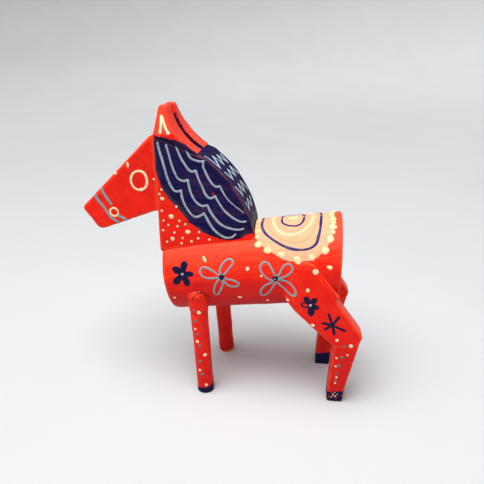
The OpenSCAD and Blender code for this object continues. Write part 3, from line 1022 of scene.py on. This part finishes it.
class HORSE_OT_finish_dowels(bpy.types.Operator):
    """Give the dowels inside the joints their bare wood"""
    bl_idname = "horse.finish_dowels"
    bl_label = "Dowels"

    def execute(self, context):
        for node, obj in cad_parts.items():
            if node.endswith("_dowel") or "_dowel_" in node:
                obj.data.materials.clear()
                obj.data.materials.append(paint("bare_wood"))
        return {"FINISHED"}


# ---------------------------------------------------------------- marks on the head, ears and neck

EYE = [(7.5, 106.6), (5, 106), (3.9, 103.5), (4, 101), (5.8, 98.8), (8, 98.4), (10, 99.3), (11.1, 101.5),
       (10.9, 103.8), (9.6, 105.7)]
BACK_BAND = [(25.6, 98), (25, 96.3), (23.5, 93.6), (21.6, 91)]
BACK_BAND_LOW = [(18.8, 85.9), (17.5, 85.2), (16.2, 84.6), (15.2, 84.1)]
FRONT_BAND = [(29.1, 94.6), (28, 92.4), (25.6, 89.6), (24, 87.2), (22.6, 85), (20.8, 83.6), (18.8, 82.6)]
BIT_RING = [(20.6 + 1.9 * math.cos(t), 87.3 + 1.9 * math.sin(t)) for t in
            (math.radians(60 * k) for k in range(6))]
HEAD_DOTS = [(12, 109, 0.6, 1.1, 90), (18.2, 105, 0.6), (0.6, 103.5, 0.5), (6.5, 98.6, 0.75)]
EAR_VEE = [[(3.2, 129.4), (3.4, 126), (3.3, 123.2)], [(3.6, 129), (4.6, 126.6), (5.6, 124.6), (6.7, 123)]]
EAR_VEE_ENDS = [(6.7, 123, 0.65), (3.3, 123.2, 0.55)]
EAR_LINING = [(6.1, 128.6), (7.5, 125.3), (9.2, 122.4), (11.4, 119.4), (14, 117), (17, 114.8)]
NECK_DOTS = [(2.5, 99, 1), (1.5, 97, 1.1), (2.5, 95, 1.7), (8.5, 91.5, 1.2), (2, 89.5, 1.1), (6, 87, 2.2),
             (2.5, 85, 1), (4.5, 83, 1), (9.5, 85, 1.1), (12, 83.5, 1), (8.5, 82.5, 1.1), (2, 80.5, 1.1),
             (13, 80, 2.1), (18, 80, 1.1), (7, 79.5, 1.1), (6, 76.5, 2), (10.5, 77, 1.1), (17.5, 77, 1.1),
             (22.5, 76.5, 1.1), (3.5, 75, 1.1), (14.5, 75.5, 1.2), (10, 74.5, 1.1)]
MANE_LINES = [
    [(2, 119), (2.5, 116), (3.5, 112), (4.5, 107.5), (5.5, 103.5), (7, 100), (8.5, 98.4), (11, 98.8)],
    [(11, 98.4), (11, 96.5), (12, 93), (13.5, 90), (15.5, 87.6), (17, 87), (20.5, 88.8)],
    [(20.5, 88.6), (22, 85.5), (24, 82), (27, 79), (30, 77.6), (32.5, 78), (34, 79.4)],
    [(5.5, 118), (6.5, 114), (7.5, 109.5), (8.5, 106.5), (10, 103.8), (12, 103), (14, 103.5)],
    [(14, 103.3), (14.5, 100), (15.5, 96.5), (17.5, 93.4), (19.5, 92.1), (22, 92.5)],
    [(22, 92.3), (23.5, 89), (25.5, 86), (28.5, 83.2), (32, 81.9), (35.5, 81.5), (37.5, 82)],
    [(9.5, 118), (10.5, 115), (11.5, 112.5), (13, 110), (14.5, 107.8), (16, 107), (17.5, 107.5)],
    [(17.5, 107.3), (18.5, 104), (20, 100.5), (21.5, 97), (23, 95.6), (25.5, 96.5)],
    [(25.5, 96.3), (27, 93.5), (29, 90.5), (31.5, 88), (34.5, 86), (36.5, 85.2), (38.5, 85.4)],
    [(13.5, 117), (14.5, 114.5), (15.5, 112.8), (17, 112), (19.5, 111.4), (21, 111.6)],
    [(20.8, 111.2), (20.6, 109.5), (21.5, 107), (23.5, 103), (25, 101.2), (26.2, 100.6), (27.5, 101)],
    [(27.5, 100.8), (28.5, 98.8, 0.9), (30.5, 95.5, 0.65), (33, 93, 0.5), (35.5, 91, 0.5),
     (37.5, 89.4, 0.5)],
]
CREST_ZIGZAGS = [
    [(-9.6, 0.6), (-8.6, 8), (-3, 2.6), (-0.6, 8.2), (3.5, 3.6), (7, 9.2), (8.8, 4.6)],
    [(-8.2, 10.6), (-5.4, 15.2), (-1.6, 10.8), (2.4, 15.6), (5, 11), (8.6, 15.8)],
    [(-9.2, 18), (-6.6, 23.4), (-2.6, 18.4), (0.6, 23.6), (4, 18.8), (8, 24.4)],
    [(-7.6, 26.4), (-5.2, 30.6), (-1.4, 26.6), (2, 31), (5.6, 27.4)],
]


MANE_SLIPS = [(29.5, 90, 0.4, 0.8, 160), (12.6, 102.8, 0.3, 0.6, 30), (31.5, 88.6, 0.25)]
MISSED_SPOT = [(24.5, 97.6, 0.5, 0.75, 70), (23.8, 98.8, 0.25)]


def head_side(side):
    return ["head_block_carved"], side_ray(NECK_FRONT, -1, side)


def neck_side(side):
    return ["neck_block_carved"], side_ray(NECK_FRONT, 1, side)


def ear_outside(side):
    return [side_word(side) + "_ear_carved"], side_ray(NECK_FRONT, 1, side)


def ear_inside(side):
    """The ray starts in the middle between the ears and goes out to the ear's inner face."""
    def ray(u, v):
        return Vector((NECK_FRONT + u * MM, 0, v * MM)), Vector((0, -side, 0))
    return [side_word(side) + "_ear_carved"], ray


class HORSE_OT_paint_head(bpy.types.Operator):
    """Paint the eyes, the bridle bands and the dots of the head"""
    bl_idname = "horse.paint_head"
    bl_label = "Eyes and bridle"

    def execute(self, context):
        bands = [BACK_BAND, BACK_BAND_LOW, FRONT_BAND]
        for name, paths, width, slip, seed, closed, slot, kind in (
                ("eye_rings", [EYE], 1.05, 0.15, 2, True, "cream_paint", "cream"),
                ("bridle_bands", bands, 1.25, 0.3, 4, False, "teal_paint", "teal"),
                ("bit_rings", [BIT_RING], 0.8, 0.1, 6, True, "cream_paint", "cream")):
            both_sides(name, lines(head_side, paths, width, slip, seed, FAR_HAND, closed), slot, kind)
        head_dots = spots(head_side, HEAD_DOTS, sizes().dot_height, 0.35, 0, 5)
        both_sides("head_dots", head_dots, "cream_paint", "cream")
        return {"FINISHED"}


class HORSE_OT_paint_ears(bpy.types.Operator):
    """Paint the pale strokes outside the ears and the dark ones inside them"""
    bl_idname = "horse.paint_ears"
    bl_label = "Ear strokes"

    def execute(self, context):
        vee = lines(ear_outside, EAR_VEE, 0.95, 0)
        ends = spots(ear_outside, EAR_VEE_ENDS, sizes().line_height, 0)

        def outside(side, hand):
            return join("mark", [vee(side, hand), ends(side, hand)])
        both_sides("ear_strokes", outside, "cream_paint", "cream")
        both_sides("ear_linings", lines(ear_inside, [EAR_LINING], 1.3, 0), "navy_paint", "navy")
        return {"FINISHED"}


class HORSE_OT_paint_mane(bpy.types.Operator):
    """Paint the waved lines of the mane and the zigzags of its crest"""
    bl_idname = "horse.paint_mane"
    bl_label = "Mane lines"

    def execute(self, context):
        s = sizes()
        waves = lines(neck_side, MANE_LINES, 0.95, 0.1, 0, 5)
        both_sides("mane_lines", waves, "grey_blue_paint", "grey_blue")
        slants = [pair for row in CREST_ZIGZAGS for pair in zip(row, row[1:])]
        crest = strokes("crest_lines", slants, 1.05, 9)
        lay(crest, ["neck_block_carved"], crest_ray(), s.line_height)
        finish_piece(crest, "grey_blue_paint", paint("pale_blue"))
        neck_dots = [(u, v, radius * 0.47) for u, v, radius in NECK_DOTS]
        freckles = spots(neck_side, neck_dots, s.dot_height, 0.4, 0, 5)
        both_sides("neck_dots", freckles, "cream_paint", "cream")
        slips = spots(neck_side, MANE_SLIPS, s.line_height * 0.5, 0.4, 0, 5)
        both_sides("mane_slips", slips, "cream_paint", "pink")
        missed = lay(dots("mane_missed_spot", MISSED_SPOT, 3), *neck_side(LEFT), s.line_height * 0.4)
        finish_piece(missed, "red_paint", paint("red"))
        return {"FINISHED"}


# ---------------------------------------------------------------- marks on the log

SADDLE_DOTS = [(44, 45, 1.5), (48, 53.5, 1.5), (54, 60.5, 1.4), (60.5, 68, 1.55), (66.5, 66, 1.4),
               (72.5, 59, 1.5), (75, 45, 1.5), (76.3, 36, 1.0), (76.5, 28, 1.5), (77, 21, 1.0),
               (77, 14, 1.3), (76.8, 8, 0.9), (76.5, 2, 1.1), (43.5, 4, 1.1),
               (43.3, 14, 0.9), (43.5, 24, 1.4), (43.5, 34, 0.9)]
OUTER_RING = [[(45.7, 2), (45.5, 11), (46, 22), (47.5, 31), (49.5, 37.5), (52.2, 44), (55.3, 50),
               (58.5, 54), (62.5, 56), (65.5, 55.3), (67.5, 53), (69, 49), (70, 41), (71, 30),
               (71.5, 18), (72, 2)]]
YELLOW_RING = [[(50.2, 2), (50.8, 11), (52, 22), (54, 30), (57, 34.5), (60, 34.5), (63, 31), (66, 24),
                (67.6, 14), (68.4, 2)]]
PINK_RINGS = [
    [(48, 3), (48.4, 16), (50, 28), (53, 38), (58, 44.5), (62, 45.5), (65.5, 41), (68, 30), (69.8, 17),
     (70.3, 3)],
    [(52.5, 3), (53, 14), (55, 24), (58.5, 29), (61.5, 28), (64.5, 20), (66, 3)],
]
INNER_RING = [[(54.4, 2), (54.6, 11), (56.3, 17.5), (59, 20.8), (61.5, 20.5), (63.3, 16), (64.2, 8),
               (64.4, 2)]]
NAVY_PETALS = [
    [(9.5, 75, 0.6), (10.4, 67, 1.0), (10.8, 63, 0.85)],
    [(9.2, 75, 0.6), (7, 70.5, 0.9), (6, 68.5, 0.7)],
    [(9.2, 78, 0.6), (7, 84, 1.0), (6, 86.5, 0.8)],
    [(9.8, 78, 0.6), (10.8, 86, 1.0), (11, 90, 0.9)],
    [(10, 76.5, 0.6), (12.5, 77, 0.9), (13.6, 77.3, 0.7)],
]
TEAL_FLOWERS = [
    [(27, 82), (26.5, 77), (27.4, 69), (29.6, 62.5), (31.8, 61.5), (32.6, 65.5), (30.6, 73), (28, 81)],
    [(26, 81), (25, 78.5), (22.5, 73), (19.8, 69.5), (18, 71), (17.8, 78), (19.5, 82.5), (22, 84.3),
     (25.6, 84)],
    [(28, 85), (29, 86.5), (31.2, 88), (33.4, 91.5), (34.2, 95), (32.4, 97.8), (29.6, 95.5), (27.4, 88)],
    [(26, 86), (24, 92), (22.8, 100), (22.4, 107), (23.6, 109.5), (25.2, 104), (27, 93.5), (27.2, 87)],
    [(50.2, 91), (48.6, 91.5), (45.6, 84), (44.4, 75), (45.4, 69), (47.2, 68), (48.8, 73.5), (50.4, 86)],
    [(51, 86), (52.2, 84.5), (53.5, 78), (55.2, 73), (57, 72.5), (58.2, 77), (56.2, 85.5), (52, 89.5)],
    [(49.6, 92), (48.6, 94.5), (45.4, 99), (43.4, 107), (43.5, 114.5), (45.8, 113), (48.2, 104),
     (50.6, 94)],
    [(51.5, 91), (52.8, 92), (55.2, 94.5), (57.7, 101), (58.6, 108.5), (57.6, 111.5), (56, 110.5),
     (53.6, 104), (50.8, 94)],
]
LOG_DOTS = [(20, 59, 0.75, 1.5, 70), (38.8, 75, 0.85), (44.5, 85, 0.5), (33.5, 117, 0.65, 0.95, 20),
            (45.5, 127, 0.6), (3.5, 112, 0.6), (15.5, 105, 0.6), (67.8, 83, 1.2, 1.2, 0),
            (73.8, 79.5, 0.85, 1.2, 10)]
SADDLE_MIDDLE = [(59.4, 0, 1.6, 2.3, 0)]
FLOWER_HEARTS = [(27, 83.5, 1.25, 1.5, 90), (50.4, 89.5, 1.3)]
FLOWER_EYES = [(9.5, 76.5, 0.6), (50.2, 90, 0.35)]


def log_side(side):
    return ["body_log_carved", side_word(side) + "_thigh_carved"], log_ray(side)


def log_lines(paths, width, slip, seed):
    return lines(log_side, [wrapped(path, LOG_R) for path in paths], width, slip, seed)


def log_spots(places, seed, share=1.0):
    """Dots on the log, as high as that share of the usual height."""
    return spots(log_side, wrapped(places, LOG_R), sizes().dot_height * share, 0.25, seed)


class HORSE_OT_paint_saddle(bpy.types.Operator):
    """Paint the rings and the dotted edge of the saddle cloth"""
    bl_idname = "horse.paint_saddle"
    bl_label = "Saddle rings and dots"

    def execute(self, context):
        for name, paths, width, seed, slot, kind in (
                ("saddle_streaks", PINK_RINGS, 0.9, 31, "peach_paint", "pink"),
                ("saddle_yellow_ring", YELLOW_RING, 1.1, 33, "cream_paint", "yellow"),
                ("saddle_outer_ring", OUTER_RING, 1.2, 35, "navy_paint", "faded_navy"),
                ("saddle_inner_ring", INNER_RING, 1.15, 37, "navy_paint", "faded_navy")):
            both_sides(name, log_lines(paths, width, 0, seed), slot, kind)
        edge = mirrored(log_spots(SADDLE_DOTS, 39), "saddle_dots")
        middle = lay(dots("mark", SADDLE_MIDDLE, 3), ["body_log_carved"], log_ray(LEFT),
                     sizes().line_height)
        finish_piece(join("saddle_dots", [edge, middle]), "cream_paint", paint("yellow"))
        return {"FINISHED"}


class HORSE_OT_paint_flowers(bpy.types.Operator):
    """Paint the flowers and loose dots along the log"""
    bl_idname = "horse.paint_flowers"
    bl_label = "Log flowers and dots"

    def execute(self, context):
        petals = mirrored(log_lines(NAVY_PETALS, 3.5, 0.1, 41), "log_navy_flowers")
        hearts = mirrored(log_spots(FLOWER_HEARTS, 43, 0.7), "flower_hearts")
        finish_piece(join("log_navy_flowers", [petals, hearts]), "navy_paint", paint("navy"))
        both_sides("log_teal_flowers", log_lines(TEAL_FLOWERS, 0.85, 0.1, 45), "teal_paint", "teal")
        both_sides("log_flower_eyes", log_spots(FLOWER_EYES, 47, 1.3), "grey_blue_paint", "grey_blue")
        both_sides("log_dots", log_spots(LOG_DOTS, 49), "cream_paint", "cream")
        return {"FINISHED"}


# ---------------------------------------------------------------- marks on the legs

HIP_X = 34.67                               # mm, from which the near hind leg's marks are measured
FAR_HIP_X = HIP_X - 2.0                     # the far hind leg stands a little further forward
THIGH_FLOWER = [
    [(5.2, 52.4, 0.6), (4, 54.2, 1), (3.4, 55, 0.8)],
    [(5.8, 52.4, 0.6), (6.9, 54, 1), (7.3, 54.6, 0.8)],
    [(6, 51.7, 0.6), (7.8, 51, 1), (8.6, 50.7, 0.7)],
    [(5.6, 51, 0.6), (5.9, 48.6, 1), (6, 47.4, 0.9)],
]
THIGH_FLOWER_EYE = [(5.5, 51.9, 0.7)]
THIGH_FLOWER_LOOP = [[(4.8, 51.4), (3.6, 50.8), (2.2, 51.2), (1.6, 52.2), (2.6, 53), (4.4, 52.6)]]
THIGH_STAR = [[(15.5, 42.5), (13.6, 48)], [(15.5, 42.5), (18, 46.8)], [(15.5, 42.5), (21, 40.2)],
              [(15.5, 42.5), (16.6, 38)], [(15.5, 42.5), (12.2, 40.2)], [(15.5, 42.5), (11.2, 43.4)]]
THIGH_DOTS = [(-4.5, 53, 0.6), (4, 59, 0.85), (7, 42, 0.65, 0.95, 150)]
SHANK_CREAM = [(18, 35, 0.65), (24.3, 32.5, 0.85), (18.5, 25.5, 0.5), (23.2, 27.5, 0.45), (18.5, 20.8, 0.5),
               (19.3, 14.5, 0.55), (18.9, 11.2, 0.45)]
SHANK_TEAL = [(21.5, 32, 0.6), (20.8, 26, 0.7), (20, 21.3, 0.75), (19.2, 16.6, 0.6), (19, 12.4, 0.6)]
HOOF_SPECKS = [(18.4, 4.2, 0.32), (19.6, 3.4, 0.35), (17.8, 2.8, 0.28), (20.4, 4.6, 0.22),
               (19.2, 5.4, 0.22)]
LEG_CREAM = [(44, 13, 0.9), (35, -24, 0.55), (28.5, -16, 0.75), (21.5, 28, 0.8), (13, -18, 0.6),
             (5, 18, 0.7)]
LEG_TEAL = [(45, -16, 0.6), (39.5, -14, 0.8), (32.5, -7, 0.7), (26.5, -1, 0.75), (18, -10, 0.75),
            (11, -3, 0.8)]


def hind_leg(side):
    word = side_word(side)
    start = HIP_X if side == LEFT else FAR_HIP_X
    return [word + "_thigh_carved", word + "_shank_carved"], side_ray(start * MM, 1, side)


def front_leg(side):
    word = side_word(side) + "_front_leg"
    return [word + "_carved"], leg_ray(word, side)


def hind_lines(paths, width, seed):
    return lines(hind_leg, paths, width, 0.15, seed)


def hind_spots(places, seed, share=1.0):
    """Dots on the hind legs, as high as that share of the usual height."""
    return spots(hind_leg, places, sizes().dot_height * share, 0.25, seed)


def front_spots(places, seed):
    return spots(front_leg, wrapped(places, LEG_R), sizes().dot_height * 0.8, 0.2, seed)


def leg_crack_shadows(side, hand):
    """The fine crack between a front leg's filler and the log, drawn as a dark line of painted shadow."""
    rnd = random.Random(hand)
    word = side_word(side) + "_front_leg"
    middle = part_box(word)[1].x / MM - DOME_HALF
    arc = []
    for degrees in range(20, 161, 20):
        turn = math.radians(degrees)
        height = DOME_LOW + DOME_RISE * math.sin(turn) + rnd.uniform(-0.3, 0.3)
        arc.append((middle + CRACK_HALF * math.cos(turn), height, rnd.uniform(0.4, 1.4)))
    obj = strokes("mark", [arc], 0.5, hand)
    return lay(obj, ["body_log_carved", word + "_carved"], side_ray(0, 1, side), sizes().line_height / 2)


class HORSE_OT_paint_legs(bpy.types.Operator):
    """Paint the flower and star of each thigh and the dots down the legs"""
    bl_idname = "horse.paint_legs"
    bl_label = "Leg flowers and dots"

    def execute(self, context):
        petals = mirrored(hind_lines(THIGH_FLOWER, 2.8, 51), "thigh_flowers")
        loops = mirrored(hind_lines(THIGH_FLOWER_LOOP, 0.8, 52), "thigh_flower_loops")
        finish_piece(join("thigh_flowers", [petals, loops]), "navy_paint", paint("navy"))
        for name, draw, slot, kind in (
                ("thigh_stars", hind_lines(THIGH_STAR, 1.15, 53), "navy_paint", "navy"),
                ("thigh_flower_eyes", hind_spots(THIGH_FLOWER_EYE, 55, 1.2),
                 "grey_blue_paint", "grey_blue"),
                ("hind_leg_cream_dots", hind_spots(THIGH_DOTS + SHANK_CREAM + HOOF_SPECKS, 57),
                 "cream_paint", "cream"),
                ("hind_leg_teal_dots", hind_spots(SHANK_TEAL, 59, 0.7), "teal_paint", "dark_teal"),
                ("leg_joint_crack_shadows", leg_crack_shadows, "filler", "crack"),
                ("front_leg_cream_dots", front_spots(LEG_CREAM, 61), "cream_paint", "cream"),
                ("front_leg_teal_dots", front_spots(LEG_TEAL, 63), "teal_paint", "dark_teal")):
            both_sides(name, draw, slot, kind)
        return {"FINISHED"}


# ---------------------------------------------------------------- floor, light and camera

# metres and radians; the lens is in millimetres
LOOK_AT = Vector((7.67 * MM, 0, 71.2 * MM))
CAMERA_AWAY = 226 * MM
CAMERA_TURN = math.radians(7)
CAMERA_RISE = math.radians(22)
LENS = 36.07


def point_at(obj, target):
    obj.rotation_euler = (target - obj.location).to_track_quat("-Z", "Y").to_euler()


def lay_floor():
    """A round floor whose rim curves up into the backdrop."""
    bpy.ops.object.select_all(action="DESELECT")
    bpy.ops.mesh.primitive_circle_add(vertices=96, radius=1.2, fill_type="NGON")
    floor = bpy.context.object
    floor.name = "pale_floor"
    bpy.ops.object.mode_set(mode="EDIT")
    bpy.ops.mesh.select_all(action="SELECT")
    for grow, rise in ((1.25, 0.02), (1.2, 0.10), (1.12, 0.25), (1.05, 0.5), (1.01, 0.8)):
        bpy.ops.mesh.extrude_region_move()
        bpy.ops.transform.resize(value=(grow, grow, 1))
        bpy.ops.transform.translate(value=(0, 0, rise))
    bpy.ops.mesh.delete(type="ONLY_FACE")
    bpy.ops.object.mode_set(mode="OBJECT")
    bpy.ops.object.shade_smooth()
    r = Recipe("pale_floor_paint")
    grain = r.noise(700, detail=3)
    base = r.mix(r.noise(9, detail=3), (0.55, 0.56, 0.57), (0.60, 0.605, 0.61))
    roughness = r.ramp(grain, 0.3, 0.7, 0.55, 0.7)
    floor.data.materials.append(r.finish(base, roughness, r.bump(grain, 0.03 * MM)))


def hang_light(name, kind, place, power):
    bpy.ops.object.light_add(type=kind, location=place)
    lamp = bpy.context.object
    lamp.name = name
    lamp.data.energy = power
    point_at(lamp, LOOK_AT)
    return lamp.data


def light_room():
    """A broad light from high on the near side, a small one overhead and a pale room."""
    hang_light("broad_soft_light", "SUN", (-0.22, -0.26, 1), 3.0).angle = math.radians(60)
    overhead = hang_light("overhead_light", "AREA", (-0.04, -0.12, 0.5), 1.2)
    overhead.shape = "DISK"
    overhead.size = 0.3
    world = bpy.data.worlds.new("pale_room")
    bpy.context.scene.world = world
    world.use_nodes = True
    backdrop = world.node_tree.nodes["Background"].inputs
    backdrop["Color"].default_value = (0.85, 0.88, 0.92, 1)
    backdrop["Strength"].default_value = 0.27


def place_camera():
    away = Vector((math.sin(CAMERA_TURN) * math.cos(CAMERA_RISE),
                   -math.cos(CAMERA_TURN) * math.cos(CAMERA_RISE), math.sin(CAMERA_RISE)))
    bpy.ops.object.camera_add(location=LOOK_AT + away * CAMERA_AWAY)
    camera = bpy.context.object
    camera.data.lens = LENS
    camera.data.sensor_width = 36
    camera.data.clip_start = 0.01
    camera.data.clip_end = 20
    point_at(camera, LOOK_AT)
    bpy.context.scene.camera = camera
    bpy.context.scene.view_settings.view_transform = "Standard"


class HORSE_OT_stage(bpy.types.Operator):
    """Lay the pale floor, hang the soft lights and place the camera"""
    bl_idname = "horse.stage"
    bl_label = "Stage"

    def execute(self, context):
        lay_floor()
        light_room()
        place_camera()
        return {"FINISHED"}


# ---------------------------------------------------------------- the add-on

OPERATORS = (
    HORSE_OT_carve_log, HORSE_OT_carve_neck, HORSE_OT_carve_head, HORSE_OT_carve_ears,
    HORSE_OT_carve_front_legs, HORSE_OT_carve_hind_legs, HORSE_OT_finish_dowels,
    HORSE_OT_paint_head, HORSE_OT_paint_ears, HORSE_OT_paint_mane,
    HORSE_OT_paint_saddle, HORSE_OT_paint_flowers, HORSE_OT_paint_legs, HORSE_OT_stage,
)


class HORSE_PT_panel(bpy.types.Panel):
    """Lists the steps that build the horse"""
    bl_label = "Painted Wooden Horse"
    bl_idname = "HORSE_PT_panel"
    bl_space_type = "VIEW_3D"
    bl_region_type = "UI"
    bl_category = "Horse"

    def draw(self, context):
        for group in (context.scene.horse_sizes, context.scene.horse_colours):
            for key in group.bl_rna.properties.keys():
                if key not in ("rna_type", "name"):
                    self.layout.prop(group, key)
        for step in OPERATORS:
            self.layout.operator(step.bl_idname)


CLASSES = (HorseSizes, HorseColours, *OPERATORS, HORSE_PT_panel)


def register():
    for cls in CLASSES:
        bpy.utils.register_class(cls)
    bpy.types.Scene.horse_sizes = bpy.props.PointerProperty(type=HorseSizes)
    bpy.types.Scene.horse_colours = bpy.props.PointerProperty(type=HorseColours)


def unregister():
    del bpy.types.Scene.horse_colours
    del bpy.types.Scene.horse_sizes
    for cls in reversed(CLASSES):
        bpy.utils.unregister_class(cls)


def main():
    register()
    for step in OPERATORS:
        group, call = step.bl_idname.split(".")
        getattr(getattr(bpy.ops, group), call)()


if __name__ == "__main__":
    main()
